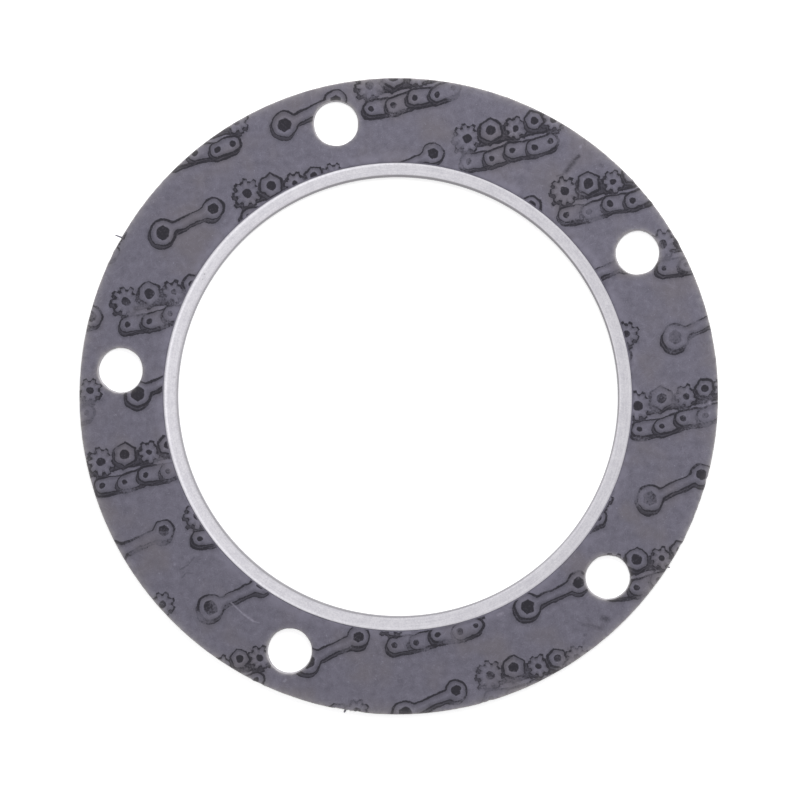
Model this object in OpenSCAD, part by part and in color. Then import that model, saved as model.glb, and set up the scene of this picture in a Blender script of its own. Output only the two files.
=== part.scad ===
// Cylinder head gasket with a crimped fire ring.
// A flat fibre sheet, cut by a die, seals the head to the barrel. The ring is one strip of
// thin steel folded into a U over the sheet's bore edge, so that the burning gas meets metal.
// The bore axis is Z, and the ring's lower flange stands on the plane Z = 0.

/* [Gasket sheet] */
// Outer diameter of the sheet
sheet_od = 121; // [116:0.5:160]
// Thickness of the sheet where nothing presses on it
sheet_t = 1.4; // [0.8:0.05:3]
// Radius that the cutting die rolls onto the sheet's upper edges
die_roll_r = 0.2; // [0.05:0.05:0.5]

/* [Stud holes] */
// Number of stud holes, evenly spaced
stud_count = 5; // [2:1:12]
// Diameter of the circle through the centres of the stud holes
stud_circle_d = 105.6; // [100:0.1:111]
// Diameter of each stud hole
stud_hole_d = 8.5; // [4:0.1:13]
// Direction of the first stud hole, in degrees from +X towards +Y
first_stud_angle = 31; // [0:1:90]

/* [Fire ring] */
// Diameter of the bore through the ring
ring_bore_d = 83.5; // [60:0.5:89]
// Width of each flange, from the bore wall to the tip of its lip
flange_w = 2.65; // [1.3:0.05:5]
// Thickness of the ring's metal
metal_t = 0.2; // [0.12:0.01:0.35]
// Outside radius of the two folds beside the bore wall
fold_r = 0.45; // [0.4:0.01:0.75]

/* [Lips] */
// Inside radius of the bend that turns each flange's lip down into the sheet
lip_bend_r = 0.4; // [0.2:0.05:1.2]
// Angle through which each lip is turned, in degrees
lip_angle = 30; // [5:1:45]

/* [Seat in the sheet] */
// Depth to which the crimped flanges press each face of the sheet
press_depth = 0.1; // [0.02:0.01:0.12]
// Gap between the sheet's inner edge and the ring's bore wall
edge_gap = 0.1; // [0:0.01:0.5]
// Gap between a lip's cut edge and the sheet
lip_gap = 0.05; // [0.01:0.01:0.15]
// Width of the shoulder beside a lip, where the sheet swells to its full thickness
shoulder_w = 0.4; // [0.1:0.05:1.5]

/* [Hidden] */
$fn = 180;
sheet_colour = [0.43, 0.42, 0.47];
ring_colour = [0.82, 0.82, 0.84];

// Heights, from the ring's lower flange upwards
ring_proud = metal_t - press_depth;
ring_h = sheet_t + 2 * ring_proud;
sheet_top = ring_proud + sheet_t;

// Radii from the bore axis
bore_r = ring_bore_d / 2;
flange_r = bore_r + flange_w;
sheet_r = sheet_od / 2;
sheet_bore_r = bore_r + metal_t + edge_gap;

// The inside of a fold has this radius, and so has the corner of the sheet inside it
fold_inside_r = fold_r - metal_t;
// A lip bends about this point. The sheet's bend is the same, moved inwards by the gap
lip_centre = [flange_r - (lip_bend_r + metal_t) * sin(lip_angle), metal_t + lip_bend_r];
seat_bend = lip_centre - [lip_gap, 0];
// The groove's wall stands clear of the lip's cut edge
groove_foot = lip_centre
    + lip_gap * [cos(lip_angle), sin(lip_angle)]
    + lip_bend_r * [sin(lip_angle), -cos(lip_angle)];
shoulder_top = [flange_r + shoulder_w, ring_proud];

// Cutters reach this far past the faces that they cut
over = 1;

// Draws its children for the lower face, and their mirror image for the upper face
module both_faces() {
    children();
    translate([0, ring_h]) mirror([0, 1]) children();
}

// Strip of metal bent about the origin: it starts straight below it and turns towards +X
module bent_strip(inside_r, turn) {
    reach = 2 * (inside_r + metal_t);
    intersection() {
        difference() {
            circle(inside_r + metal_t);
            circle(inside_r);
        }
        polygon([[0, 0], [0, -reach], reach * [sin(turn / 2), -cos(turn / 2)],
            reach * [sin(turn), -cos(turn)]]);
    }
}

// Half of the ring's section: half of the bore wall, a fold, a flange and its lip
module ring_half_section() {
    translate([bore_r, fold_r]) square([metal_t, ring_h / 2 - fold_r]);
    translate([bore_r + fold_r, fold_r]) mirror([1, 0]) bent_strip(fold_inside_r, 90);
    translate([bore_r + fold_r, 0]) square([lip_centre.x - bore_r - fold_r, metal_t]);
    translate(lip_centre) bent_strip(lip_bend_r, lip_angle);
}

// Tongue of the sheet that the ring grips, with its inner corners squeezed round
module tongue_section() {
    corner_r = sheet_bore_r + fold_inside_r;
    translate([corner_r, metal_t]) square([seat_bend.x - corner_r, ring_h - 2 * metal_t]);
    translate([sheet_bore_r, fold_r]) square([fold_inside_r, ring_h - 2 * fold_r]);
    for (height = [fold_r, ring_h - fold_r])
        translate([corner_r, height]) circle(fold_inside_r);
}

// The sheet outside the seat, with its upper outer edge rolled by the die
module web_section() {
    roll = [sheet_r - die_roll_r, sheet_top - die_roll_r];
    translate([seat_bend.x, ring_proud]) square([roll.x - seat_bend.x, sheet_t]);
    translate([roll.x, ring_proud]) square([die_roll_r, sheet_t - die_roll_r]);
    translate(roll) circle(die_roll_r);
}

// What the turned lip and the crimping tool press out of the sheet's lower face
module lip_groove_section() {
    difference() {
        polygon([[seat_bend.x, -over], seat_bend, groove_foot, shoulder_top,
            [shoulder_top.x, -over]]);
        translate(seat_bend) circle(lip_bend_r);
    }
}

// Cutter for one stud hole, flared at the top where the die rolls the edge
module stud_hole() {
    hole_r = stud_hole_d / 2;
    roll = [hole_r + die_roll_r, sheet_top - die_roll_r];
    rotate_extrude() {
        square([hole_r, sheet_top + over]);
        difference() {
            translate([hole_r, roll.y]) square([die_roll_r, die_roll_r + over]);
            translate(roll) circle(die_roll_r);
        }
    }
}

// Fibre sheet: one die-cut disc, pressed thinner where the ring grips its bore edge
module gasket_sheet() {
    color(sheet_colour) difference() {
        rotate_extrude() {
            tongue_section();
            difference() {
                web_section();
                both_faces() lip_groove_section();
            }
        }
        for (i = [0 : stud_count - 1])
            rotate(first_stud_angle + i * 360 / stud_count)
                translate([stud_circle_d / 2, 0, 0]) stud_hole();
    }
}

// Fire ring: steel strip folded over the sheet's bore edge and crimped from both faces
module fire_ring() {
    color(ring_colour) rotate_extrude() both_faces() ring_half_section();
}

gasket_sheet();
fire_ring();
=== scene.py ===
"""Cylinder head gasket: a printed fibre sheet with a steel fire ring crimped over its bore edge."""

import math
import random

import bpy
import numpy as np
from mathutils import Matrix, Vector
from mathutils.geometry import delaunay_2d_cdt
from mathutils.noise import noise


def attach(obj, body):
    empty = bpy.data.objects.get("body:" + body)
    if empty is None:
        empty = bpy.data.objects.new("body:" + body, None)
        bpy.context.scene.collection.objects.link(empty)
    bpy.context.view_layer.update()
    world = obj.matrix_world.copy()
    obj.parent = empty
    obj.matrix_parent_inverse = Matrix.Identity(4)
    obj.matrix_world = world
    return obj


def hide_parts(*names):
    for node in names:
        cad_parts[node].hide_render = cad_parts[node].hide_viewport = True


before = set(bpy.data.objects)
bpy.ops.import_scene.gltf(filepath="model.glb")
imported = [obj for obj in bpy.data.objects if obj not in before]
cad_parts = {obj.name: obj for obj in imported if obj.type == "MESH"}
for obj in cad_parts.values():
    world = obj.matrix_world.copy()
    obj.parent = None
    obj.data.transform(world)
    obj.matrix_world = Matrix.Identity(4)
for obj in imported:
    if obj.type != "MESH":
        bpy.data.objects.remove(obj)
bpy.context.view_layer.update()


# Gasket sheet
# One disc of rubber-bound fibre sheet, punched out with its bore and its five stud holes by one
# stroke of a die. The die rolls the upper edges over and leaves a torn, fibrous wall below them.
# The ring presses the bore edge thinner from both faces.

# The gasket's lengths are millimetres until its meshes are made. Those of the table, the lamps and
# the camera are metres
MM = 0.001
SHEET_R = 60.5
SHEET_LOW = 0.1
SHEET_TOP = 1.5
MIDDLE = 0.8
STUD_CIRCLE_R = 52.8
STUD_HOLE_R = 4.25
STUD_ANGLES = [31, 103, 175, 247, 319]
# The die rolls the upper edges over this far, and the lower ones only by a hair
DIE_ROLL = 0.2
WALL_TOP = SHEET_TOP - DIE_ROLL
LOWER_ROLL = 0.03

# Points round each kind of edge
EDGE_POINTS = 1800
HOLE_POINTS = 120
SEAT_POINTS = 600

# How far each punched hole stands off its true place, and its radius off the true one, because the
# soft sheet gives a little when it is punched and handled
HOLE_SCATTER = [
    (0.16, 0.05, -0.03),
    (0.12, 0.47, 0.09),
    (-0.12, 0.34, 0.05),
    (0.01, 0.16, 0.08),
    (-0.05, 0.44, 0.05),
]
hole_centres = [
    (
        STUD_CIRCLE_R * math.cos(math.radians(a)) + dx,
        STUD_CIRCLE_R * math.sin(math.radians(a)) + dy,
    )
    for a, (dx, dy, _) in zip(STUD_ANGLES, HOLE_SCATTER)
]

# The ring stands off a true circle as an oval, turned by an angle, that sits a little low. The
# outer edge does so as an oval and as three lobes. The sheet goes from one to the other in between
RING_OVAL = 0.11
RING_OVAL_TURN = 25
RING_LOW = 0.07
RING_SHAPED_TO = 45
EDGE_OVAL = 0.14
EDGE_LOBES = 0.07
EDGE_SHAPED_FROM = 59
# The ring's lips stand out all round, and further on the side of an angle
LIP_OUT = 0.04
LIP_FURTHER = 0.05
LIP_FURTHER_AT = 195
LIP_EDGE_R = 44.4
LIP_REACH = 0.6


def out_of_round(x, y):
    """Moves a point as the ring, its lips and the outer edge stand off true circles."""
    radius, around = math.hypot(x, y), math.atan2(y, x)
    outward = (radius - RING_SHAPED_TO) / (EDGE_SHAPED_FROM - RING_SHAPED_TO)
    outward = min(1, max(0, outward))
    ring_part = RING_OVAL * math.cos(2 * (around + math.radians(RING_OVAL_TURN)))
    edge_part = EDGE_OVAL * math.cos(2 * around) + EDGE_LOBES * math.cos(3 * around)
    lip_part = LIP_OUT + LIP_FURTHER * math.cos(around - math.radians(LIP_FURTHER_AT))
    off = ring_part * (1 - outward) + edge_part * outward
    off += lip_part * math.exp(-(((radius - LIP_EDGE_R) / LIP_REACH) ** 2))
    return x * (1 + off / radius), y * (1 + off / radius) - RING_LOW * (1 - outward)


def round_points(radius, count, centre=(0, 0), turn=0.0):
    """Points evenly round a circle, as an array of x and y."""
    angle = 2 * math.pi * (np.arange(count) + turn) / count
    return np.stack([centre[0] + radius * np.cos(angle), centre[1] + radius * np.sin(angle)], 1)


def arc(centre, radius, start, end, steps):
    """Points of a round section along an arc, with angles from outwards to upwards."""
    return [
        (centre[0] + radius * math.cos(a), centre[1] + radius * math.sin(a))
        for a in np.radians(np.linspace(start, end, steps + 1))
    ]


class Skin:
    """The points and faces of one piece, and for each point how much of its cut fibres shows."""

    def __init__(self):
        self.points, self.cut, self.faces = [], [], []

    def add_points(self, flat, heights, cut=0.0):
        """Adds points from their x and y and one or more heights, and returns their numbers."""
        first = len(self.points)
        heights = np.broadcast_to(heights, len(flat))
        self.points.extend((x, y, z) for (x, y), z in zip(flat, heights))
        self.cut.extend([cut] * len(flat))
        return list(range(first, len(self.points)))

    def add_bands(self, loops, outward):
        """Joins loops of equal length by bands of quads that face away from or to the axis."""
        for a, b in zip(loops, loops[1:]):
            for i in range(len(a)):
                j = (i + 1) % len(a)
                quad = (a[i], b[i], b[j], a[j])
                self.faces.append(quad if outward else quad[::-1])

    def add_hair(self, path, thick, cut, taper=0.85):
        """Adds a three-sided fibre along a path of points, thinner by a share at its end."""
        path = [Vector(p) for p in path]
        along = (path[-1] - path[0]).normalized()
        side = along.orthogonal().normalized()
        other = along.cross(side)
        loops = []
        for i, at in enumerate(path):
            width = thick * (1 - taper * i / (len(path) - 1)) / 2
            ring = [
                at + width * (side * math.cos(a) + other * math.sin(a))
                for a in (0, 2 * math.pi / 3, 4 * math.pi / 3)
            ]
            loops.append(list(range(len(self.points), len(self.points) + 3)))
            self.points.extend(tuple(p) for p in ring)
            self.cut.extend([cut] * 3)
        self.add_bands(loops, outward=False)
        self.faces += [tuple(loops[0][::-1]), tuple(loops[-1])]

    def make(self, name, sharp_degrees):
        """Makes the Blender object, in metres."""
        mesh = bpy.data.meshes.new(name)
        mesh.from_pydata([tuple(MM * c for c in p) for p in self.points], [], self.faces)
        mesh.attributes.new("cut", "FLOAT", "POINT").data.foreach_set("value", self.cut)
        mesh.shade_smooth()
        mesh.set_sharp_from_angle(angle=math.radians(sharp_degrees))
        piece = bpy.data.objects.new(name, mesh)
        bpy.context.collection.objects.link(piece)
        return piece


# The web between the ring's seat and the outer edge is one triangulation, which serves for the
# upper and the lower face. Rows of points follow each edge round, given by their distance from it
# and their number. An even web of points starts a little further off
SHOULDER_R = 45.0
SEAT_ROWS = [(0.35, 600), (0.8, 500)]
EDGE_ROWS = [(0.45, 1200), (0.85, 800)]
HOLE_ROWS = [(0.5, 90), (0.95, 64)]
SEAT_TO_WEB = 1.15
EDGE_TO_WEB = 1.25
HOLE_TO_WEB = 1.35
WEB_STEP = 0.62
WEB_SHAKE = 0.09
web_loops = [
    round_points(SHOULDER_R, SEAT_POINTS),
    round_points(SHEET_R - DIE_ROLL, EDGE_POINTS),
    *[round_points(STUD_HOLE_R + DIE_ROLL, HOLE_POINTS, c) for c in hole_centres],
]
web_flat = list(web_loops)
web_flat += [round_points(SHOULDER_R + off, n, turn=0.5) for off, n in SEAT_ROWS]
web_flat += [round_points(SHEET_R - off, n, turn=0.5) for off, n in EDGE_ROWS]
for centre in hole_centres:
    web_flat += [round_points(STUD_HOLE_R + off, n, centre, 0.5) for off, n in HOLE_ROWS]

shaker = np.random.default_rng(7)
rows = np.arange(-SHEET_R, SHEET_R, WEB_STEP * math.sqrt(3) / 2)
across = np.arange(-SHEET_R, SHEET_R, WEB_STEP)
grid = np.array([(x + (j % 2) * WEB_STEP / 2, y) for j, y in enumerate(rows) for x in across])
grid += shaker.uniform(-WEB_SHAKE, WEB_SHAKE, grid.shape)
from_axis = np.hypot(*grid.T)
inner = (from_axis > SHOULDER_R + SEAT_TO_WEB) & (from_axis < SHEET_R - EDGE_TO_WEB)
for centre in hole_centres:
    inner &= np.hypot(*(grid - centre).T) > STUD_HOLE_R + HOLE_TO_WEB
web_flat = np.concatenate([*web_flat, grid[inner]])

loop_numbers, rim_edges = [], []
for loop in web_loops:
    first = sum(len(n) for n in loop_numbers)
    loop_numbers.append(np.arange(first, first + len(loop)))
    rim_edges += [(first + i, first + (i + 1) % len(loop)) for i in range(len(loop))]
cdt = delaunay_2d_cdt([tuple(p) for p in web_flat], rim_edges, [], 0, 1e-7)
came_from = np.array([orig[0] for orig in cdt[3]])
triangles = came_from[np.array(cdt[2])]
corners = web_flat[triangles]
middles = corners.mean(1)
kept = np.hypot(*middles.T) > SHOULDER_R
for centre in hole_centres:
    kept &= np.hypot(*(middles - centre).T) > STUD_HOLE_R + DIE_ROLL
side_a, side_b = corners[:, 1] - corners[:, 0], corners[:, 2] - corners[:, 0]
turned = side_a[:, 0] * side_b[:, 1] < side_a[:, 1] * side_b[:, 0]
triangles[turned] = triangles[turned, ::-1]
triangles = triangles[kept]

# The sheet's gentle unevenness: long waves, and lumps of the pressed pulp in two sizes, each by its
# size, its height and its place in the noise
SWELLS = [(24, 0.016, 3.1), (3.1, 0.008, 8.7), (1.2, 0.005, 1.9)]


def swell(x, y):
    """Height of the sheet's unevenness at a place."""
    return sum(high * noise(Vector((x / size, y / size, at))) for size, high, at in SWELLS)


sheet = Skin()
uneven = np.array([swell(x, y) for x, y in web_flat])
sheet.add_points(web_flat, SHEET_TOP + uneven)
below = len(sheet.points)
low_flat = web_flat.copy()
low_flat[loop_numbers[1]] *= (SHEET_R - LOWER_ROLL) / (SHEET_R - DIE_ROLL)
closer = (STUD_HOLE_R + LOWER_ROLL) / (STUD_HOLE_R + DIE_ROLL)
for centre, numbers in zip(hole_centres, loop_numbers[2:]):
    low_flat[numbers] = centre + (low_flat[numbers] - centre) * closer
sheet.add_points(low_flat, SHEET_LOW + uneven)
sheet.faces += [tuple(t) for t in triangles.tolist()]
sheet.faces += [tuple(t[::-1]) for t in (triangles + below).tolist()]

# Section of the seat under the ring, from the shoulder's top to halfway down the bore edge. The
# tongue is a hair smaller than the space in the ring, so that no two faces share one place
HAIR = 0.004
GROOVE = [(44.8, 1.488), (44.66, 1.452), (44.5, 1.39), (44.36, 1.333), (44.32, 1.295)]
UNDER_LIP_AT = (44.05, 1.0)
UNDER_LIP_R = 0.4
TONGUE_MIDDLE_R = 43.2
TONGUE_TOP = 1.4
IN_FOLD_AT = (42.3, 1.15)
IN_FOLD_R = 0.25
TONGUE_END_R = 42.05
seat_section = GROOVE + arc(UNDER_LIP_AT, UNDER_LIP_R - HAIR, 60, 90, 2)
seat_section += [(TONGUE_MIDDLE_R, TONGUE_TOP - HAIR)]
seat_section += arc(IN_FOLD_AT, IN_FOLD_R - HAIR, 90, 180, 3)
seat_rows = seat_section + [(TONGUE_END_R + HAIR, MIDDLE)]
seat_rows += [(r, 2 * MIDDLE - z) for r, z in seat_section[::-1]]
seat_loops = [loop_numbers[0].tolist()]
seat_loops += [sheet.add_points(round_points(r, SEAT_POINTS), z) for r, z in seat_rows]
seat_loops += [(loop_numbers[0] + below).tolist()]
sheet.add_bands(seat_loops, outward=False)

# Section of a punched edge, from the face down: how far out of the wall's line each row lies, its
# height, and how much it shows the torn fibres. The die's roll comes first
ROLL_SHOWS = [0.5, 0.6, 0.75, 0.9, 1]
WALL_HEIGHTS = [1.15, 0.98, 0.8, 0.62, 0.45, 0.28, 0.16]
roll = arc((-DIE_ROLL, WALL_TOP), DIE_ROLL, 72, 0, 4)
edge_section = [(out, z, show) for (out, z), show in zip(roll, ROLL_SHOWS)]
edge_section += [(0, z, 1) for z in WALL_HEIGHTS]
# The outer edge shows them evenly, because it is rubbed by handling
OUTER_SHOWS = 0.88
LOWER_RIM_SHOWS = 0.6
outer_loops = [loop_numbers[1].tolist()]
for out, z, _ in edge_section:
    flat = round_points(SHEET_R + out, EDGE_POINTS)
    outer_loops.append(sheet.add_points(flat, z, OUTER_SHOWS))
outer_loops += [(loop_numbers[1] + below).tolist()]
sheet.add_bands(outer_loops, outward=True)
hole_loops = []
for centre, numbers in zip(hole_centres, loop_numbers[2:]):
    loops = [numbers.tolist()]
    for out, z, show in edge_section:
        flat = round_points(STUD_HOLE_R - out, HOLE_POINTS, centre)
        loops.append(sheet.add_points(flat, z, show))
    loops += [(numbers + below).tolist()]
    sheet.add_bands(loops, outward=False)
    hole_loops.append(loops)
for loop in [outer_loops[-1], *[loops[-1] for loops in hole_loops]]:
    for number in loop:
        sheet.cut[number] = LOWER_RIM_SHOWS

# Wear along the outer edge, as its direction in degrees, its depth, negative where it stands out,
# and its half width
EDGE_MARKS = [
    (150.5, 0.07, 0.4),
    (152.9, -0.07, 0.5),
    (155.4, -0.06, 0.5),
    (69.7, -0.07, 0.4),
    (42.6, -0.10, 0.45),
    (37.3, -0.09, 0.5),
    (28.9, -0.10, 0.6),
    (345.0, 0.11, 0.4),
    (342.3, 0.08, 0.8),
    (340.4, 0.09, 0.7),
    (338.6, 0.06, 0.6),
    (333.2, -0.09, 0.6),
    (332.1, 0.08, 0.5),
    (286.9, 0.14, 0.5),
    (285.6, 0.07, 0.4),
    (245.3, -0.08, 0.4),
    (243.1, -0.10, 0.45),
]
# Ripples all along it, as their length, depth and place in the noise
EDGE_RIPPLES = [(1.7, 0.022, 0.4), (0.5, 0.014, 5)]
# The frayed stretch, from and to a direction, with how deep and how long its teeth are
FRAYED = (258.4, 263.8)
FRAYED_DEPTH = 0.2
FRAYED_TOOTH = 0.45


def edge_wear(degrees, height):
    """How far the outer edge is set back at a direction and height."""
    along = math.radians(degrees) * SHEET_R
    depth = sum(deep * noise(Vector((along / long, at, 0))) for long, deep, at in EDGE_RIPPLES)
    for at, deep, half in EDGE_MARKS:
        off = math.radians((degrees - at + 180) % 360 - 180) * SHEET_R / half
        if abs(off) < 3:
            depth += deep * math.exp(-off * off)
    inside = min(degrees - FRAYED[0], FRAYED[1] - degrees)
    if inside > -0.3:
        share = min(1, max(0, (inside + 0.3) / 0.8))
        teeth = 0.55 + 0.9 * noise(Vector((along / FRAYED_TOOTH, 11, height / 1.5)))
        depth += FRAYED_DEPTH * share * max(0, teeth)
    return depth


# Streaks and lumps of a punched wall, as their length, height, depth and place in the noise
TORN_GRAIN = [(0.32, 0.5, 0.03, 0), (0.9, 0.3, 0.025, 4)]
SMOOTH_SHARE = 0.15


def torn(along, height, seed):
    """Roughness of a punched wall: smooth under the roll, torn into short fibres lower down."""
    rough = min(1, max(SMOOTH_SHARE, (WALL_TOP - height) / 0.5))
    return rough * sum(
        deep * noise(Vector((along / long, height / high, seed + at)))
        for long, high, deep, at in TORN_GRAIN
    )


# The torn wall of a hole leans in a little towards the lower face, as a share of its height, and
# each hole was punched a little out of square, by these shares in x and y
TORN_IN = 0.14
OUT_OF_SQUARE = [(0.05, -0.02), (0.02, -0.08), (0.06, 0.03), (0.04, 0.09), (0.02, 0.02)]
# How far a hole's outline wanders in its whole shape, and from spot to spot
HOLE_WANDER = 0.09
HOLE_RIPPLE = 0.02
HOLE_NOISE_STEP = 7.3
# How far an edge's own shape and its paler, rubbed rim fade into the face, how far off the shape
# ends, and how much the rims show the fibres
EDGE_FADE = 0.5
EDGE_SHAPED = 1.25
EDGE_RUB = 0.6
HOLE_FADE = 0.3
HOLE_SHAPED = 0.6
HOLE_RUB = 0.7
ON_WALL = 0.05
for number, (x, y, z) in enumerate(sheet.points):
    radius = math.hypot(x, y)
    inside = SHEET_R - radius
    rubbed = EDGE_RUB * math.exp(-max(0, inside) / EDGE_FADE)
    sheet.cut[number] = max(sheet.cut[number], rubbed)
    if inside < EDGE_SHAPED:
        degrees = math.degrees(math.atan2(y, x)) % 360
        shift = -edge_wear(degrees, z)
        if inside < ON_WALL:
            shift += torn(math.radians(degrees) * SHEET_R, z, 2.0)
        shift *= math.exp(-((max(0, inside) / EDGE_FADE) ** 2))
        sheet.points[number] = (x * (1 + shift / radius), y * (1 + shift / radius), z)
    for seed, (cx, cy) in enumerate(hole_centres):
        radius = math.hypot(x - cx, y - cy)
        outside = radius - STUD_HOLE_R
        rubbed = HOLE_RUB * math.exp(-max(0, outside) / HOLE_FADE)
        sheet.cut[number] = max(sheet.cut[number], rubbed)
        if outside < HOLE_SHAPED:
            way = Vector((x - cx, y - cy, 0)) / radius
            around = math.atan2(y - cy, x - cx) * STUD_HOLE_R
            at = seed * HOLE_NOISE_STEP
            shift = HOLE_WANDER * noise(way * 1.6 + Vector((0, 0, at)))
            shift += HOLE_RIPPLE * noise(Vector((around / 1.1, at, 1))) + HOLE_SCATTER[seed][2]
            below_roll = max(0, WALL_TOP - z)
            if outside < ON_WALL:
                shift += torn(around, z, 20.0 + seed) - TORN_IN * below_roll
            fade = math.exp(-((max(0, outside) / HOLE_FADE) ** 2))
            new_x = x + (x - cx) * shift * fade / radius
            new_y = y + (y - cy) * shift * fade / radius
            lean_x, lean_y = (share * below_roll * fade for share in OUT_OF_SQUARE[seed])
            sheet.points[number] = (new_x + lean_x, new_y + lean_y, z)

# Fibres that stand out of the torn walls. Three are long, given by their direction, height, length,
# thickness and lean along the edge. They are darker than the short ones
LONG_FIBRES = [
    (150.1, 1.15, 1.3, 0.42, 0.2),
    (260.6, 0.95, 0.55, 0.52, -0.5),
    (327.7, 1.1, 0.4, 0.36, 0.4),
]
LONG_FIBRE_SHOWS = 0.08
SHORT_FIBRES = 330
SHORT_FIBRES_PER_HOLE = 26
SHORT_FIBRE_SHOWS = 0.8
FRAYED_SHARE = 0.15
fibre_dice = random.Random(11)


def fibre_path(centre, radius, degrees, height, length, lean, out, root=0.08):
    """A slightly bent path that starts inside the wall."""
    a = math.radians(degrees)
    away = Vector((math.cos(a), math.sin(a), 0)) * out
    side = Vector((-math.sin(a), math.cos(a), 0))
    start = Vector((*centre, height)) + Vector((math.cos(a), math.sin(a), 0)) * radius
    bend = fibre_dice.uniform(-0.3, 0.3)
    return [
        start + away * (length * t - root * (1 - t)) + side * length * (lean * t + bend * t * t)
        for t in (0, 0.35, 0.7, 1)
    ]


for degrees, height, length, thick, lean in LONG_FIBRES:
    radius = SHEET_R - edge_wear(degrees, height)
    path = fibre_path((0, 0), radius, degrees, height, length, lean, 1, root=0.25)
    sheet.add_hair(path, thick, LONG_FIBRE_SHOWS, taper=0.3)
for _ in range(SHORT_FIBRES):
    degrees = fibre_dice.uniform(0, 360)
    if fibre_dice.random() < FRAYED_SHARE:
        degrees = fibre_dice.uniform(*FRAYED)
    height = fibre_dice.triangular(0.2, 1.3, 0.7)
    length = 0.06 + 0.3 * fibre_dice.random() ** 2.5
    lean = fibre_dice.uniform(-1, 1)
    radius = SHEET_R - edge_wear(degrees, height)
    path = fibre_path((0, 0), radius, degrees, height, length, lean, 1)
    sheet.add_hair(path, fibre_dice.uniform(0.02, 0.045), SHORT_FIBRE_SHOWS)
for centre in hole_centres:
    for _ in range(SHORT_FIBRES_PER_HOLE):
        height = fibre_dice.triangular(0.2, 1.3, 0.6)
        length = 0.05 + 0.2 * fibre_dice.random() ** 2
        lean = fibre_dice.uniform(-1, 1)
        degrees = fibre_dice.uniform(0, 360)
        path = fibre_path(centre, STUD_HOLE_R, degrees, height, length, lean, -1)
        sheet.add_hair(path, fibre_dice.uniform(0.02, 0.04), SHORT_FIBRE_SHOWS)

sheet.points = [(*out_of_round(x, y), z) for x, y, z in sheet.points]
gasket_sheet = sheet.make("fibre_sheet", 50)
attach(gasket_sheet, "root")
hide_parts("gasket_sheet")


# Surface of the sheet
# The binder gives a dull grey with a violet cast, mottled by the fibres in it. The punched walls
# show the bare fibres, which are paler, and palest where they were torn apart.


def put(tree, kind, values=None, **settings):
    """Adds one node, sets or links its inputs by name or number, and returns it."""
    node = tree.nodes.new(kind)
    for key, value in settings.items():
        setattr(node, key, value)
    for key, value in (values or {}).items():
        if isinstance(value, bpy.types.NodeSocket):
            tree.links.new(value, node.inputs[key])
        else:
            node.inputs[key].default_value = value
    return node


def calc(tree, operation, *values):
    """One step of arithmetic."""
    return put(tree, "ShaderNodeMath", dict(enumerate(values)), operation=operation).outputs[0]


def vector_calc(tree, operation, *values):
    """One step of vector arithmetic. A length, distance or dot product comes out as a number."""
    node = put(tree, "ShaderNodeVectorMath", dict(enumerate(values)), operation=operation)
    is_number = operation in ("LENGTH", "DISTANCE", "DOT_PRODUCT")
    return node.outputs["Value" if is_number else "Vector"]


def scaled(tree, vector, factor):
    """A vector times a number."""
    node = put(tree, "ShaderNodeVectorMath", {0: vector, "Scale": factor}, operation="SCALE")
    return node.outputs["Vector"]


def ease(tree, value, low, high, at_low=0.0, at_high=1.0):
    """A smooth step from one value to another."""
    values = {"Value": value, "From Min": low, "From Max": high}
    values |= {"To Min": at_low, "To Max": at_high}
    return put(tree, "ShaderNodeMapRange", values, interpolation_type="SMOOTHSTEP").outputs[0]


def mixed(tree, factor, a, b):
    """A number between a and b."""
    return put(tree, "ShaderNodeMix", {0: factor, 2: a, 3: b}, data_type="FLOAT").outputs[0]


def mixed_colour(tree, factor, a, b, blend="MIX"):
    """A colour between a and b."""
    values = {0: factor, 6: a, 7: b}
    return put(tree, "ShaderNodeMix", values, data_type="RGBA", blend_type=blend).outputs[2]


def noise_of(tree, point, size, detail=2.0, rough=0.5):
    """Noise with features of about the given size, in the units of the point."""
    values = {"Vector": point, "Scale": 1 / size, "Detail": detail, "Roughness": rough}
    return put(tree, "ShaderNodeTexNoise", values).outputs[0]


def new_group(name, inputs, outputs):
    """An empty node group with the given sockets, and its input and output nodes."""
    tree = bpy.data.node_groups.new(name, "ShaderNodeTree")
    for sockets, way in ((inputs, "INPUT"), (outputs, "OUTPUT")):
        for socket, kind in sockets.items():
            tree.interface.new_socket(socket, in_out=way, socket_type="NodeSocket" + kind)
    return tree, tree.nodes.new("NodeGroupInput"), tree.nodes.new("NodeGroupOutput")


def use(tree, group, **values):
    """Places a group, with its inputs given by name."""
    return put(tree, "ShaderNodeGroup", values, node_tree=group).outputs


def rgb(red, green, blue):
    """A colour as a picture gives it, 0 to 255, made linear for a shader."""
    parts = [c / 255 for c in (red, green, blue)]
    return (*[c / 12.92 if c < 0.04045 else ((c + 0.055) / 1.055) ** 2.4 for c in parts], 1)


# Mottling in two scales, and rare specks. The sheet and the ring both use it
mottling, given, result = new_group(
    "mottling",
    {"Point": "Vector", "Size": "Float"},
    {"Blotches": "Float", "Grain": "Float", "Specks": "Float"},
)
spread = put(mottling, "ShaderNodeCombineXYZ", {i: given.outputs["Size"] for i in range(3)})
small = vector_calc(mottling, "DIVIDE", given.outputs["Point"], spread.outputs[0])
mottling.links.new(noise_of(mottling, small, 1.6, 3, 0.6), result.inputs["Blotches"])
mottling.links.new(noise_of(mottling, small, 0.22, 2, 0.65), result.inputs["Grain"])
speck_field = noise_of(mottling, small, 0.55, 1, 0.5)
mottling.links.new(ease(mottling, speck_field, 0.73, 0.8), result.inputs["Specks"])


def surface_point(tree):
    """The place on the object, in millimetres."""
    return scaled(tree, put(tree, "ShaderNodeTexCoord").outputs["Object"], 1 / MM)


# Outlines of the printed shapes. Each group gives the distance to a shape's outline, negative
# inside it, and the same for the shape's shadow, which falls down and to the left
SHADOW_SHIFT = (0.36, 0.5, 0)
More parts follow.
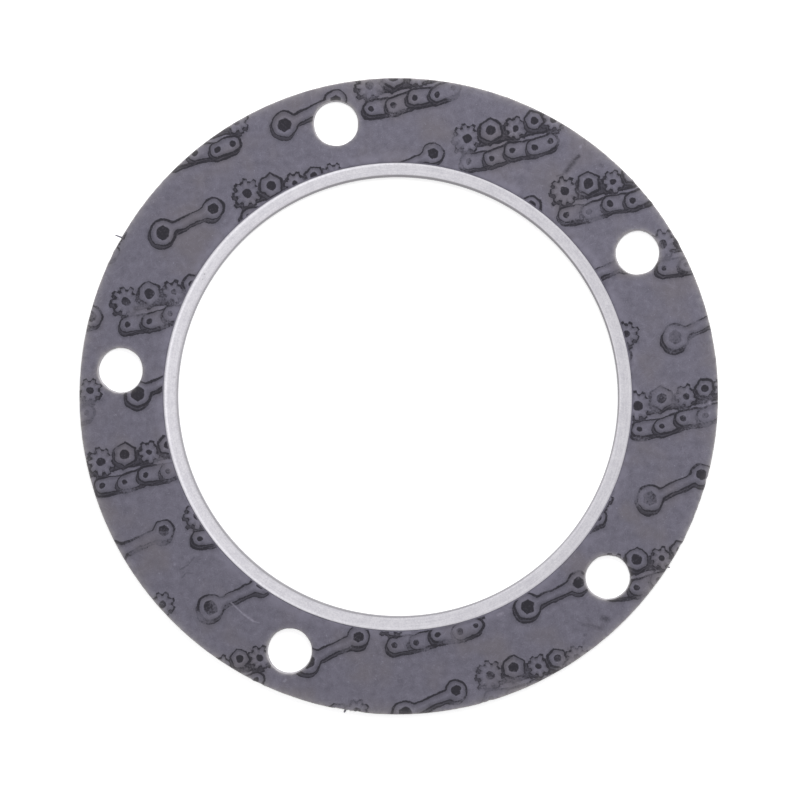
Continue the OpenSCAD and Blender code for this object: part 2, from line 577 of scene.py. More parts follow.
# A cog's teeth: how steep their flanks are, and their height as a share of its radius
TOOTH_STEEP = 2.4
TOOTH_HIGH = 0.13
# A nut's six sides: the direction of the slanting ones, and how far their corners are rounded
SLANT = (0.5, 0.866)
NUT_ROUNDING = 0.3


def outline_group(name, inputs, draw):
    """A group that runs draw at a point and at the shadow's point."""
    tree, given, result = new_group(
        name, {"Point": "Vector", **inputs}, {"Distance": "Float", "Shadow": "Float"}
    )
    point = given.outputs["Point"]
    shifted = vector_calc(tree, "ADD", point, SHADOW_SHIFT)
    for socket, at in (("Distance", point), ("Shadow", shifted)):
        tree.links.new(draw(tree, at, given.outputs), result.inputs[socket])
    return tree


def parts_of(tree, vector):
    """The X, Y and Z of a vector."""
    return put(tree, "ShaderNodeSeparateXYZ", {0: vector}).outputs


def turned_by(tree, vector, angle):
    """A vector turned round Z."""
    values = {"Vector": vector, "Angle": angle}
    return put(tree, "ShaderNodeVectorRotate", values, rotation_type="Z_AXIS").outputs[0]


def between(tree, value, low, high):
    """A number held between two others."""
    return calc(tree, "MAXIMUM", calc(tree, "MINIMUM", value, high), low)


def draw_cog(tree, point, given):
    """A wheel with a number of teeth round it."""
    arm = vector_calc(tree, "SUBTRACT", point, given["Centre"])
    xyz = parts_of(tree, arm)
    angle = calc(tree, "ARCTAN2", xyz["Y"], xyz["X"])
    wave = calc(tree, "SINE", calc(tree, "MULTIPLY", angle, given["Teeth"]))
    square = between(tree, calc(tree, "MULTIPLY", wave, TOOTH_STEEP), -1, 1)
    tooth = calc(tree, "MULTIPLY", given["Radius"], TOOTH_HIGH)
    edge = calc(tree, "MULTIPLY_ADD", square, tooth, given["Radius"])
    return calc(tree, "SUBTRACT", vector_calc(tree, "LENGTH", arm), edge)


def draw_nut(tree, point, given):
    """A hexagon, with its radius measured to the middle of a side."""
    arm = vector_calc(tree, "SUBTRACT", point, given["Centre"])
    arm = turned_by(tree, arm, given["Turn"])
    xyz = parts_of(tree, vector_calc(tree, "ABSOLUTE", arm))
    slant = calc(tree, "MULTIPLY", xyz["X"], SLANT[0])
    slant = calc(tree, "MULTIPLY_ADD", xyz["Y"], SLANT[1], slant)
    side = calc(tree, "SMOOTH_MAX", xyz["X"], slant, NUT_ROUNDING)
    return calc(tree, "SUBTRACT", side, given["Radius"])


def draw_link(tree, point, given):
    """A bar with round ends."""
    arm = vector_calc(tree, "SUBTRACT", point, given["Start"])
    axis = vector_calc(tree, "SUBTRACT", given["End"], given["Start"])
    along = vector_calc(tree, "DOT_PRODUCT", arm, axis)
    share = calc(tree, "DIVIDE", along, vector_calc(tree, "DOT_PRODUCT", axis, axis))
    across = vector_calc(tree, "SUBTRACT", arm, scaled(tree, axis, between(tree, share, 0, 1)))
    return calc(tree, "SUBTRACT", vector_calc(tree, "LENGTH", across), given["Radius"])


round_inputs = {"Centre": "Vector", "Radius": "Float"}
long_inputs = {"Start": "Vector", "End": "Vector", "Radius": "Float"}
cog_outline = outline_group("cog outline", {**round_inputs, "Teeth": "Float"}, draw_cog)
nut_outline = outline_group("nut outline", {**round_inputs, "Turn": "Float"}, draw_nut)
link_outline = outline_group("link outline", long_inputs, draw_link)

# Lays one outlined shape over what is printed already. Its outline and its hole are solid ink, and
# the rest of it is bare but for some ink that bled in from the outline. Its shadow is a tint with a
# solid rim, from which some ink bled out
INK_EDGE = 0.08
TINT = 0.82
BLED_IN = 0.42
BLED_OUT = 0.3
BLEED_REACH = 0.9
BLEED_FULL = 0.1
RIM_SHARE = 0.8
inked_shape, given, result = new_group(
    "inked shape",
    {"Under": "Float", "Distance": "Float", "Shadow": "Float", "Hole": "Float", "Line": "Float"},
    {"Ink": "Float"},
)


def inside_of(tree, value, ink=1.0):
    """Ink where a distance is negative, with a soft edge."""
    return ease(tree, value, -INK_EDGE, INK_EDGE, ink, 0)


def line_on(tree, value, half):
    """Ink along the line where a distance is nought."""
    return inside_of(tree, calc(tree, "SUBTRACT", calc(tree, "ABSOLUTE", value), half))


distance, shadow, line = (given.outputs[socket] for socket in ("Distance", "Shadow", "Line"))
outline = line_on(inked_shape, distance, line)
filled = calc(inked_shape, "MAXIMUM", outline, inside_of(inked_shape, given.outputs["Hole"]))
bled_in = ease(inked_shape, distance, -BLEED_REACH, -BLEED_FULL, 0, BLED_IN)
filled = calc(inked_shape, "MAXIMUM", filled, bled_in)
under = calc(inked_shape, "MAXIMUM", given.outputs["Under"], inside_of(inked_shape, shadow, TINT))
rim = line_on(inked_shape, shadow, calc(inked_shape, "MULTIPLY", line, RIM_SHARE))
under = calc(inked_shape, "MAXIMUM", under, rim)
bled_out = ease(inked_shape, shadow, 0, BLEED_REACH, BLED_OUT, 0)
under = calc(inked_shape, "MAXIMUM", under, bled_out)
body = inside_of(inked_shape, calc(inked_shape, "SUBTRACT", distance, line))
inked_shape.links.new(mixed(inked_shape, body, under, filled), result.inputs["Ink"])

# The print
# The face is roll-printed in dark ink before punching, so the rows of shapes run over the edges.
# A wide group has cogs and nuts over a length of chain. A narrow group is a ring spanner. They are
# drawn smaller than they are printed
PRINT_SIZE = 1.15
PRINT_SHIFT = (11.2, 113.6, 0)
ROW_TILT = 14
ROW_PITCH = 12.4
GROUP_PITCH = 37.4
ROW_STAGGER = 13.5
WIDE_AT = (-8.9, 0.0)
NARROW_AT = (10.7, -0.2)
LINE_HALF = 0.2
# The roller gives a little, which bends the shapes: the scale of each wobble and its size
WOBBLES = [(0.55, 0.7), (3.2, 0.22)]
# Cogs and nuts are given by centre, radius, teeth or turn in degrees, and the hole's radius. The
# chain's links, and the bands whose shadows tint the gaps, are given by their two ends
COGS = [(-7.0, 1.8, 2.1, 9, 0.75), (1.1, 1.4, 1.65, 7, 0.5), (7.6, 1.3, 1.75, 8, 0.6)]
NUTS = [(-2.9, 2.1, 1.75, 12, 0.85), (4.4, 1.9, 1.45, -8, 0.65)]
LINKS = [
    (-7.7, -2.0, -4.9, -2.3),
    (-4.0, -2.4, -1.2, -2.2),
    (-0.3, -2.0, 2.5, -2.3),
    (3.4, -2.4, 6.2, -2.1),
]
LINK_R = 1.3
LINK_HOLE = 0.5
BANDS = [(-7, 1.7, 7.6, 1.3, 1.15), (-7.7, -2.2, 6.2, -2.2, 1.0)]

page, given, result = new_group("printed ink", {"Point": "Vector"}, {"Ink": "Float"})
place = given.outputs["Point"]
flat = place
for scale, shake in WOBBLES:
    values = {"Vector": place, "Scale": scale, "Detail": 1.0}
    wobble = put(page, "ShaderNodeTexNoise", values).outputs["Color"]
    wobble = vector_calc(page, "SUBTRACT", wobble, (0.5, 0.5, 0.5))
    flat = vector_calc(page, "ADD", flat, scaled(page, wobble, shake))
flat = scaled(page, vector_calc(page, "ADD", flat, PRINT_SHIFT), 1 / PRINT_SIZE)
xyz = parts_of(page, turned_by(page, flat, -math.radians(ROW_TILT)))
row = calc(page, "FLOOR", calc(page, "DIVIDE", xyz["Y"], ROW_PITCH))
up = calc(page, "SUBTRACT", calc(page, "WRAP", xyz["Y"], ROW_PITCH, 0), ROW_PITCH / 2)
along = calc(page, "MULTIPLY_ADD", row, ROW_STAGGER, xyz["X"])
along = calc(page, "SUBTRACT", calc(page, "WRAP", along, GROUP_PITCH, 0), GROUP_PITCH / 2)
spot = put(page, "ShaderNodeCombineXYZ", {"X": along, "Y": up}).outputs[0]
wide = vector_calc(page, "SUBTRACT", spot, (*WIDE_AT, 0))
narrow = vector_calc(page, "SUBTRACT", spot, (*NARROW_AT, 0))
press = noise_of(page, place, 5.0, 1)
line = ease(page, press, 0.3, 0.7, LINE_HALF * 0.65, LINE_HALF * 1.25)


def hole_at(tree, point, centre, radius):
    """Distance to a round hole's rim, negative inside the hole."""
    return calc(tree, "SUBTRACT", vector_calc(tree, "DISTANCE", point, (*centre, 0)), radius)


def lay(tree, under, found, hole):
    """Lays an outlined shape over the ink so far."""
    shape = {"Distance": found["Distance"], "Shadow": found["Shadow"]}
    return use(tree, inked_shape, Under=under, Hole=hole, Line=line, **shape)["Ink"]


def bar(tree, point, x0, y0, x1, y1, radius):
    """A round-ended bar between two places."""
    ends = {"Start": (x0, y0, 0), "End": (x1, y1, 0)}
    return use(tree, link_outline, Point=point, Radius=radius, **ends)


# Gaps between neighbouring shapes are tinted as the shadows are
gaps = calc(page, "MINIMUM", *[bar(page, wide, *band)["Shadow"] for band in BANDS])
ink = calc(page, "MAXIMUM", inside_of(page, gaps, TINT), line_on(page, gaps, line))
for x, y, radius, teeth, hole in COGS:
    found = use(page, cog_outline, Point=wide, Centre=(x, y, 0), Radius=radius, Teeth=teeth)
    ink = lay(page, ink, found, hole_at(page, wide, (x, y), hole))
for x, y, radius, degrees, hole in NUTS:
    turn = math.radians(degrees)
    found = use(page, nut_outline, Point=wide, Centre=(x, y, 0), Radius=radius, Turn=turn)
    ink = lay(page, ink, found, hole_at(page, wide, (x, y), hole))
for ends in LINKS:
    found = bar(page, wide, *ends, LINK_R)
    holes = [hole_at(page, wide, end, LINK_HOLE) for end in (ends[:2], ends[2:])]
    ink = lay(page, ink, found, calc(page, "MINIMUM", *holes))

# The spanner: a shank between a large and a small ring, each round a six-sided hole. Its ends are
# given by centre, radius and the hole's radius
SPANNER_ENDS = [(-4.4, -0.9, 2.15, 1.1), (4.7, 0.9, 1.75, 0.85)]
SPANNER_HOLE_TURN = 0.3
SHANK_R = 0.85
NECK = 0.6
shank = bar(page, narrow, *SPANNER_ENDS[0][:2], *SPANNER_ENDS[1][:2], SHANK_R)
shape, shade, holes = shank["Distance"], shank["Shadow"], []
shifted = vector_calc(page, "ADD", narrow, SHADOW_SHIFT)
for x, y, radius, hole in SPANNER_ENDS:
    shape = calc(page, "SMOOTH_MIN", shape, hole_at(page, narrow, (x, y), radius), NECK)
    shade = calc(page, "SMOOTH_MIN", shade, hole_at(page, shifted, (x, y), radius), NECK)
    inner = {"Centre": (x, y, 0), "Radius": hole, "Turn": SPANNER_HOLE_TURN}
    holes.append(use(page, nut_outline, Point=narrow, **inner)["Distance"])
ink = lay(page, ink, {"Distance": shape, "Shadow": shade}, calc(page, "MINIMUM", *holes))

# Where the roller pressed lightly the ink thins out
thin = noise_of(page, place, 7.5, 2)
worn = noise_of(page, place, 0.4, 2, 0.7)
cover = calc(page, "ADD", ease(page, thin, 0.3, 0.5, -0.2, 0.25), worn)
ink = calc(page, "MULTIPLY", ink, ease(page, cover, 0.25, 0.75, 0.3, 1.0))
page.links.new(ink, result.inputs["Ink"])

# Fibres of the pulp near the surface: short thin lines in three directions
STRAND_LAYERS = [(20, 0.0), (80, 17.0), (140, 41.0)]
STRAND_STRETCH = (0.5, 2.2, 1)
strands, given, result = new_group("strands", {"Point": "Vector"}, {"Strands": "Float"})
seen = 0.0
for turn, shift in STRAND_LAYERS:
    lain = turned_by(strands, given.outputs["Point"], math.radians(turn))
    lain = vector_calc(strands, "MULTIPLY_ADD", lain, STRAND_STRETCH, (shift, 0, 0))
    ridge = calc(strands, "SUBTRACT", noise_of(strands, lain, 1.3, 1), 0.5)
    ridge = calc(strands, "ABSOLUTE", ridge)
    broken = ease(strands, noise_of(strands, lain, 0.9, 0), 0.5, 0.6)
    here = calc(strands, "MULTIPLY", ease(strands, ridge, 0, 0.025, 1, 0), broken)
    seen = calc(strands, "MAXIMUM", seen, here)
strands.links.new(seen, result.inputs["Strands"])

# Marks of handling on the upper face. Each lies along a short line: its ends, half width and
# strength. The scuffs are dark and the scratches pale
SCUFFS = [
    ((31.9, 42.5), (32.7, 43.4), 0.38, 0.65),
    ((32.7, 43.5), (33.5, 44.5), 0.42, 0.62),
    ((33.6, 44.7), (34.4, 45.5), 0.3, 0.75),
    ((30.2, 41.7), (31.5, 42.1), 0.14, 0.4),
    ((38.5, 43.8), (38.9, 43.6), 0.3, 0.4),
    ((37.9, 42.6), (38.1, 42.2), 0.3, 0.2),
    ((39.0, 41.5), (39.2, 41.3), 0.25, 0.2),
    ((38.9, -41.9), (39.7, -42.2), 0.48, 0.6),
    ((35.2, -43.2), (38.4, -43.8), 0.38, 0.35),
    ((35.5, -45.2), (35.7, -45.2), 0.25, 0.45),
    ((35.3, -46.6), (35.3, -46.8), 0.25, 0.35),
    ((-38.7, -30.6), (-39.9, -32.1), 0.13, 0.34),
    ((-39.9, -32.1), (-41.3, -32.9), 0.14, 0.38),
    ((-40.3, -33.7), (-41.0, -34.5), 0.14, 0.38),
    ((-38.8, -33.6), (-40.2, -33.6), 0.12, 0.28),
]
SCRATCHES = [
    ((-31.6, -39.2), (-29.4, -41.3), 0.13, 0.6),
    ((-29.4, -41.3), (-27.4, -42.7), 0.17, 0.75),
    ((-27.4, -42.7), (-26.3, -43.0), 0.1, 0.5),
    ((19.1, -41.4), (19.9, -41.1), 0.24, 0.7),
    ((-21.5, -54.1), (-21.2, -53.8), 0.2, 0.55),
    ((59.1, -1.0), (59.1, -1.5), 0.26, 0.55),
    ((59.1, -3.0), (59.1, -3.2), 0.2, 0.4),
    ((34.7, 47.1), (34.7, 47.3), 0.24, 0.5),
    ((-42.4, -32.0), (-42.4, -31.9), 0.22, 0.45),
]
handling, given, result = new_group(
    "handling marks", {"Point": "Vector"}, {"Scuffs": "Float", "Scratches": "Float"}
)
ragged = noise_of(handling, given.outputs["Point"], 0.5, 2, 0.7)
ragged = ease(handling, ragged, 0.3, 0.6, 0.45, 1)
level = vector_calc(handling, "MULTIPLY", given.outputs["Point"], (1, 1, 0))
for socket, marks in (("Scuffs", SCUFFS), ("Scratches", SCRATCHES)):
    seen = 0.0
    for start, end, half, strength in marks:
        mark = bar(handling, level, *start, *end, half)
        here = ease(handling, mark["Distance"], -half, half, strength, 0)
        seen = calc(handling, "MAXIMUM", seen, here)
    handling.links.new(calc(handling, "MULTIPLY", seen, ragged), result.inputs[socket])

SHEET_DARK = rgb(80, 78, 89)
SHEET_LIGHT = rgb(130, 127, 142)
SHEET_WARM = rgb(114, 108, 111)
PALE_FIBRE = rgb(152, 148, 163)
INK = rgb(35, 33, 40)
BARE_FIBRE = rgb(186, 182, 181)
TORN_FIBRE = rgb(216, 213, 217)
# Heights between which the print comes in, and those between which the wall turns to torn fibres
PRINTED_FROM = (1.4, 1.47)
TORN_BELOW = (1.3, 1.1)
# Radii between which the rubbed band beside the ring fades out
RUBBED_BAND = (45.2, 46.7)


def new_finish(name):
    """A new material, its node tree and its shader."""
    finish = bpy.data.materials.new(name)
    finish.use_nodes = True
    return finish, finish.node_tree, finish.node_tree.nodes["Principled BSDF"]


sheet_finish, tree, shader = new_finish("printed fibre sheet")
point = surface_point(tree)
height_part = parts_of(tree, point)["Z"]
spots = use(tree, mottling, Point=point, Size=1.0)
broad = noise_of(tree, point, 9, 2)
grain = calc(tree, "MULTIPLY", spots["Grain"], 0.6)
tone = calc(tree, "MULTIPLY_ADD", spots["Blotches"], 0.75, grain)
tone = calc(tree, "SUBTRACT", tone, 0.16)
colour = mixed_colour(tree, tone, SHEET_DARK, SHEET_LIGHT)
colour = mixed_colour(tree, ease(tree, broad, 0.45, 0.7, 0, 0.45), colour, SHEET_WARM)
strand = use(tree, strands, Point=point)["Strands"]
pale = calc(tree, "MULTIPLY", strand, 0.2)
pale = calc(tree, "MAXIMUM", pale, calc(tree, "MULTIPLY", spots["Specks"], 0.4))
colour = mixed_colour(tree, pale, colour, PALE_FIBRE)
# The crimping rolls rub the sheet paler beside the ring
level = vector_calc(tree, "MULTIPLY", point, (1, 1, 0))
radius = vector_calc(tree, "LENGTH", level)
rubbed = ease(tree, noise_of(tree, point, 2.4, 2), 0.35, 0.62, 0.1, 1)
rubbed = calc(tree, "MULTIPLY", rubbed, ease(tree, radius, *RUBBED_BAND, 0.55, 0))
colour = mixed_colour(tree, rubbed, colour, SHEET_LIGHT)
# The print and the marks of handling are on the upper face only
on_top = ease(tree, height_part, *PRINTED_FROM)
ink = calc(tree, "MULTIPLY", use(tree, page, Point=point)["Ink"], on_top)
colour = mixed_colour(tree, calc(tree, "MULTIPLY", ink, 0.96), colour, INK)
marks = use(tree, handling, Point=point)
for socket, shade in (("Scuffs", INK), ("Scratches", PALE_FIBRE)):
    colour = mixed_colour(tree, calc(tree, "MULTIPLY", marks[socket], on_top), colour, shade)
# The wall shows the thin layers in which the pulp was laid, and is palest where it was torn
cut = put(tree, "ShaderNodeAttribute", attribute_name="cut").outputs["Fac"]
layers = vector_calc(tree, "MULTIPLY", point, (0.6, 0.6, 3.2))
torn_look = noise_of(tree, layers, 0.7, 4, 0.7)
bare_fibre = calc(tree, "MULTIPLY", cut, ease(tree, torn_look, 0.3, 0.65, 0.35, 0.95))
bare_fibre = calc(tree, "MULTIPLY", bare_fibre, ease(tree, ink, 0, 1, 1, 0.45))
deep = ease(tree, height_part, *TORN_BELOW)
fibre_colour = mixed_colour(tree, deep, BARE_FIBRE, TORN_FIBRE)
colour = mixed_colour(tree, bare_fibre, colour, fibre_colour)
tree.links.new(colour, shader.inputs["Base Color"])
roughness = calc(tree, "MULTIPLY_ADD", spots["Grain"], 0.12, 0.78)
roughness = mixed(tree, ink, roughness, 0.66)
tree.links.new(roughness, shader.inputs["Roughness"])
shader.inputs["Specular IOR Level"].default_value = 0.25
height = calc(tree, "MULTIPLY_ADD", spots["Blotches"], 1.2, spots["Grain"])
height = calc(tree, "MULTIPLY_ADD", strand, 0.3, height)
height = calc(tree, "MULTIPLY_ADD", ink, 0.15, height)
bump = put(tree, "ShaderNodeBump", {"Height": height, "Strength": 0.6, "Distance": 0.02 * MM})
tree.links.new(bump.outputs[0], shader.inputs["Normal"])
gasket_sheet.data.materials.append(sheet_finish)


# Fire ring
# One strip of thin steel, folded into a U over the sheet's bore edge and crimped from both faces,
# so that its two lips turn down into the sheet. The burning gas meets this metal only.
BORE_R = 41.67
WALL_END = 0.9
FLANGE_MIDDLE_R = 43.1
METAL = 0.2
FOLD_R = 0.45
FOLD_AT = (42.2, 1.15)
LIP_AT = (44.1, 1.0)
LIP_R = 0.6
LIP_DEGREES = 30
RING_TOP = 1.6
RING_POINTS = 720
# Where the flange's outer face starts to fall away, where the bend proper starts, and its slope
# there in degrees, on the fold's side and on the lip's side
FOLD_EASE = (42.52, 42.17, 6)
LIP_EASE = (43.55, 44.1, 5)


def fall_away(flat_at, bend_at, degrees):
    """Points where the flange's face curves down from level to a slope, and their last height."""
    fall = math.tan(math.radians(degrees)) / 2 / abs(bend_at - flat_at)
    return [(r, RING_TOP - fall * (r - flat_at) ** 2) for r in np.linspace(flat_at, bend_at, 6)]


def bend_from(start, slope, end, limit, steps):
    """An arc that carries on from a slope at a point until its slope or its radius is reached."""
    turn, last = math.radians(slope), math.radians(end)
    reach = (limit - start[0]) / (math.sin(last) - math.sin(turn))
    centre = (start[0] - reach * math.sin(turn), start[1] - abs(reach) * math.cos(turn))
    along = 90 - math.copysign(1, reach) * np.linspace(slope, end, steps + 1)
    return arc(centre, abs(reach), along[0], along[-1], steps)[1:]


to_fold = fall_away(*FOLD_EASE)
to_lip = fall_away(*LIP_EASE)
fold_bend = bend_from(to_fold[-1], FOLD_EASE[2], 90, BORE_R, 9)
lip_bend = bend_from(to_lip[-1], LIP_EASE[2], LIP_DEGREES, LIP_AT[0] + LIP_R / 2, 5)
outside = [(BORE_R, WALL_END)] + fold_bend[::-1] + to_fold[::-1]
outside += [(FLANGE_MIDDLE_R, RING_TOP)] + to_lip + lip_bend
inside = arc(LIP_AT, LIP_R - METAL, 90 - LIP_DEGREES, 90, 3)
inside += [(FLANGE_MIDDLE_R, RING_TOP - METAL)]
inside += arc(FOLD_AT, FOLD_R - METAL, 90, 180, 4)


def eased_corner(before, corner, after, radius):
    """Two points that take the sharpness off a corner."""
    corner = Vector(corner)
    ways = [(Vector(other) - corner).normalized() for other in (before, after)]
    return [tuple(corner + way * radius) for way in ways]


OUTER_TIP_EASE = 0.025
INNER_TIP_EASE = 0.02
tip_out, tip_in = outside[-1], inside[0]
outside[-1:] = eased_corner(outside[-2], tip_out, tip_in, OUTER_TIP_EASE)
inside[:1] = eased_corner(tip_out, tip_in, inside[1], INNER_TIP_EASE)
half = outside + inside
section = half + [(r, 2 * MIDDLE - z) for r, z in half[::-1]]
ring = Skin()
ring_loops = [ring.add_points(round_points(r, RING_POINTS), z) for r, z in section]
ring.add_bands(ring_loops + ring_loops[:1], outward=True)

# The crimping rolls leave the flanges very slightly wavy, and the lip's edge a little uneven. Each
# wave is given by its number round the ring, its height, its place in the noise and its length
# outwards. The flanges lie a little in, so that the waves stay within the ring's full height
FLANGE_WAVES = [(14, 0.006, 5, 1.5), (42, 0.0025, 9, 0.8)]
FLANGE_IN = 0.009
LIP_UNEVEN = 0.02
LIP_WAVES = 16
FLANGE_FROM = 42.1
LIP_FROM = 43.9
COMES_IN = 0.4
for number, (x, y, z) in enumerate(ring.points):
    radius = math.hypot(x, y)
    ux, uy = x / radius, y / radius
    side = 1 if z > MIDDLE else -1
    wave = sum(
        high * noise(Vector((ux * often, uy * often, side * at + radius / long)))
        for often, high, at, long in FLANGE_WAVES
    )
    on_flange = min(1, max(0, (radius - FLANGE_FROM) / COMES_IN))
    at_lip = min(1, max(0, (radius - LIP_FROM) / COMES_IN))
    out = at_lip * LIP_UNEVEN * noise(Vector((ux * LIP_WAVES, uy * LIP_WAVES, 2 + side)))
    lifted = z + (wave - FLANGE_IN * side) * on_flange
    ring.points[number] = (*out_of_round(x + ux * out, y + uy * out), lifted)
fire_ring = ring.make("crimped_ring", 50)
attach(fire_ring, "root")
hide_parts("fire_ring")

# Bare steel strip with a fine drawn grain that follows the ring round. Shade is painted in the fold
# and at the lip's tip, and a highlight on the lip's bright line, each strongest on one side
STEEL = rgb(208, 206, 211)
STEEL_DULL = rgb(186, 184, 191)
# Colour of the burnished line, which also carries a painted highlight
BURNISH_AND_HIGHLIGHT = rgb(228, 226, 232)
# Colour of the painted shade in the fold, also used for the stains
FOLD_SHADE_AND_STAIN = rgb(119, 117, 120)
# Colour of the painted shade at the lip's tip
TIP_SHADE = rgb(176, 175, 182)
# The painted shade in the fold and at the lip's tip is darkest, and the lip's painted highlight is
# brightest, on the sides that face these ways
LIP_PAINTED_LIGHT_SIDE = (0.17, 0.98, 0)
FOLD_SHADE_SIDE = (0.47, 0.88, 0)
# Small stains, as x, y, size and strength
STAINS = [
    (-36.7, 23.2, 0.19, 0.55),
    (-37.05, 22.2, 0.17, 0.35),
    (-42.35, 3.6, 0.26, 0.3),
    (-42.65, 3.65, 0.24, 0.25),
]
# Radii between which the painted shade of the fold and of the lip's tip, and the bright line, come
# in
FOLD_SHADE_RADII = (42.14, 41.88)
TIP_SHADE_RADII = (44.28, 44.42)
LINE_FROM = (43.8, 43.98)
LINE_TO = (44.3, 44.14)
ring_finish, tree, shader = new_finish("rolled ring steel")
point = surface_point(tree)
level = vector_calc(tree, "MULTIPLY", point, (1, 1, 0))
radius = vector_calc(tree, "LENGTH", level)
facing = scaled(tree, vector_calc(tree, "NORMALIZE", level), 6.0)
steps = calc(tree, "ADD", radius, parts_of(tree, point)["Z"])
steps = put(tree, "ShaderNodeCombineXYZ", {"Z": calc(tree, "MULTIPLY", steps, 8.0)}).outputs[0]
drawn_grain = noise_of(tree, vector_calc(tree, "ADD", facing, steps), 0.8, 3, 0.6)
spots = use(tree, mottling, Point=point, Size=1.3)
tone = calc(tree, "MULTIPLY", spots["Blotches"], 0.2)
tone = calc(tree, "MULTIPLY_ADD", drawn_grain, 0.45, tone)
tone = calc(tree, "MULTIPLY_ADD", spots["Grain"], 0.5, tone)
colour = mixed_colour(tree, ease(tree, tone, 0.42, 0.73), STEEL_DULL, STEEL)
side = vector_calc(tree, "DOT_PRODUCT", facing, LIP_PAINTED_LIGHT_SIDE)
# Painted shade in the fold, darkest where the fold faces its given side
fold_shade_facing = vector_calc(tree, "DOT_PRODUCT", facing, FOLD_SHADE_SIDE)
shade_by_facing = ease(tree, fold_shade_facing, -6, 6, 0.52, 0.83)
fold_shade = calc(tree, "MULTIPLY", ease(tree, radius, *FOLD_SHADE_RADII), shade_by_facing)
colour = mixed_colour(tree, fold_shade, colour, FOLD_SHADE_AND_STAIN)
# Painted shade at the lip's tip, darkest where the lip faces its given side
shade_by_facing = ease(tree, side, -6, 6, 0.3, 0.7)
tip_shade_mask = calc(tree, "MULTIPLY", ease(tree, radius, *TIP_SHADE_RADII), shade_by_facing)
colour = mixed_colour(tree, tip_shade_mask, colour, TIP_SHADE)
# The crimping tool leaves a bright, smoother line, broken here and there, where the lip starts to
# bend. Its pale colour is partly burnished metal and partly a painted highlight, brightest on one
# side
burnish = ease(tree, radius, *LINE_FROM)
burnish = calc(tree, "MULTIPLY", burnish, ease(tree, radius, *LINE_TO))
beads = ease(tree, noise_of(tree, level, 0.7, 2, 0.6), 0.35, 0.6, 0.5, 1)
shine_and_highlight = calc(tree, "MULTIPLY", beads, ease(tree, side, 3.5, 6, 0.28, 0.75))
colour = mixed_colour(tree, calc(tree, "MULTIPLY", burnish, shine_and_highlight), colour, BURNISH_AND_HIGHLIGHT)
for x, y, size, strength in STAINS:
    away = vector_calc(tree, "DISTANCE", level, (x, y, 0))
    stain = ease(tree, away, 0.3 * size, size, strength, 0)
    colour = mixed_colour(tree, stain, colour, FOLD_SHADE_AND_STAIN)
tree.links.new(colour, shader.inputs["Base Color"])
shader.inputs["Metallic"].default_value = 1.0
roughness = calc(tree, "MULTIPLY_ADD", drawn_grain, 0.16, 0.27)
roughness = mixed(tree, burnish, roughness, 0.28)
tree.links.new(roughness, shader.inputs["Roughness"])
values = {"Height": drawn_grain, "Strength": 0.5, "Distance": 0.004 * MM}
bump = put(tree, "ShaderNodeBump", values)
tree.links.new(bump.outputs[0], shader.inputs["Normal"])
fire_ring.data.materials.append(ring_finish)


# White table
# The gasket lies flat on a dull white board, with the ring's lower flange on it. The board glows
# where it is seen, so that it is as white as the room and keeps only a faint shadow.
TABLE_HALF = 2.0
table_mesh = bpy.data.meshes.new("table")
table_corners = [(-1, -1), (1, -1), (1, 1), (-1, 1)]
table_corners = [(x * TABLE_HALF, y * TABLE_HALF, 0) for x, y in table_corners]
table_mesh.from_pydata(table_corners, [], [(0, 1, 2, 3)])
table = bpy.data.objects.new("table", table_mesh)
bpy.context.collection.objects.link(table)


def seen_directly(tree):
    """1 for rays from the camera, and for those that shine off metal or pass through glass."""
    path = put(tree, "ShaderNodeLightPath").outputs
    either = calc(tree, "MAXIMUM", path["Is Camera Ray"], path["Is Glossy Ray"])
    return calc(tree, "MAXIMUM", either, path["Is Transmission Ray"])


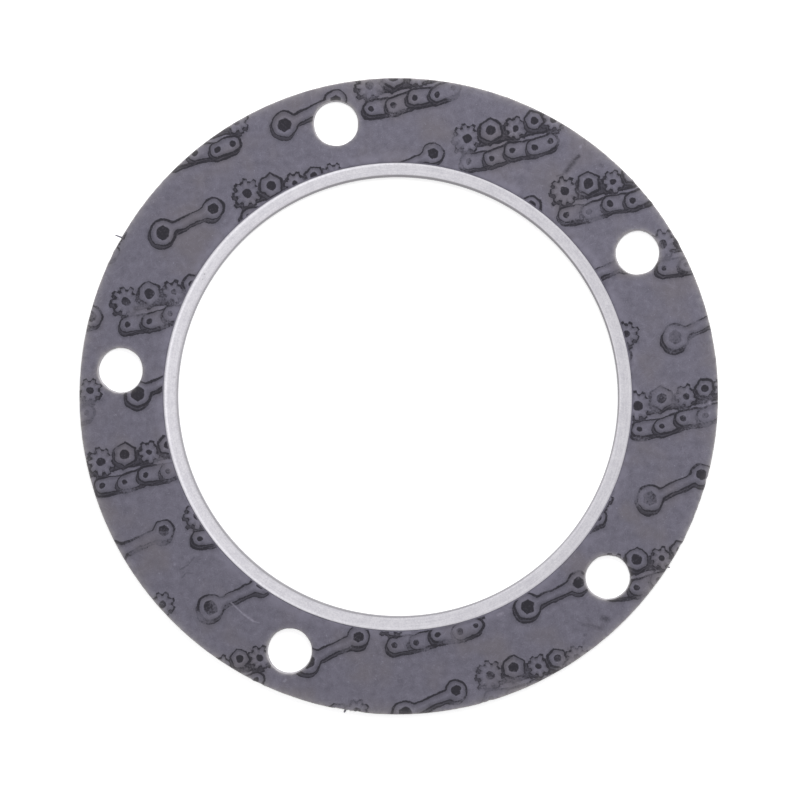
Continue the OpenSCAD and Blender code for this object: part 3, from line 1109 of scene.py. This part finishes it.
TABLE_LIFT = 0.52
white_table, tree, shader = new_finish("white table")
shader.inputs["Base Color"].default_value = (0.9, 0.9, 0.9, 1)
shader.inputs["Roughness"].default_value = 0.9
shader.inputs["Specular IOR Level"].default_value = 0.0
shader.inputs["Emission Color"].default_value = (1, 1, 1, 1)
lift = calc(tree, "MULTIPLY", seen_directly(tree), TABLE_LIFT)
tree.links.new(lift, shader.inputs["Emission Strength"])
table_mesh.materials.append(white_table)


# Light
# A wide soft lamp hangs overhead to the left, and a smaller one stands lower behind the gasket. The
# room is even and white. It looks brighter, also in the steel, than the light it gives.
ROOM_LIGHT = 0.535
room = bpy.data.worlds.new("white room")
bpy.context.scene.world = room
room.use_nodes = True
tree = room.node_tree
background = tree.nodes["Background"]
background.inputs["Color"].default_value = (1, 1, 1, 1)
strength = mixed(tree, seen_directly(tree), ROOM_LIGHT, 1.0)
tree.links.new(strength, background.inputs["Strength"])

LAMPS = [
    ("left lamp", (-0.287, 0.04, 0.95), (1.1, 0.3), 0.64, True),
    ("rear lamp", (0.11, 0.295, 0.3), (0.3, 0.3), 1.15, False),
]
for name, place, (wide, high), watts, shines in LAMPS:
    lamp = bpy.data.lights.new(name, "AREA")
    lamp.shape = "RECTANGLE"
    lamp.size, lamp.size_y = wide, high
    lamp.energy = watts
    holder = bpy.data.objects.new(name, lamp)
    holder.location = place
    holder.visible_glossy = shines
    holder.rotation_euler = (-Vector(place)).to_track_quat("-Z", "Y").to_euler()
    bpy.context.collection.objects.link(holder)


# Camera
# It looks down through a long lens from about 1.1 m above the table, a little to the right of the
# gasket's middle.
CAMERA_AT = Vector((0.059, 0.0065, 1.111))
LOOKS_AT = Vector((0.00045, -0.0007, 0.0008))
FIELD_DEGREES = 7.81
camera = bpy.data.cameras.new("camera")
camera.sensor_width = 36
camera.lens = camera.sensor_width / 2 / math.tan(math.radians(FIELD_DEGREES / 2))
stand = bpy.data.objects.new("camera", camera)
back = (CAMERA_AT - LOOKS_AT).normalized()
right = Vector((0, 1, 0)).cross(back).normalized()
up = back.cross(right)
aim = Matrix((right, up, back)).transposed().to_4x4()
stand.matrix_world = Matrix.Translation(CAMERA_AT) @ aim
bpy.context.collection.objects.link(stand)
bpy.context.scene.camera = stand
bpy.context.scene.view_settings.view_transform = "Standard"
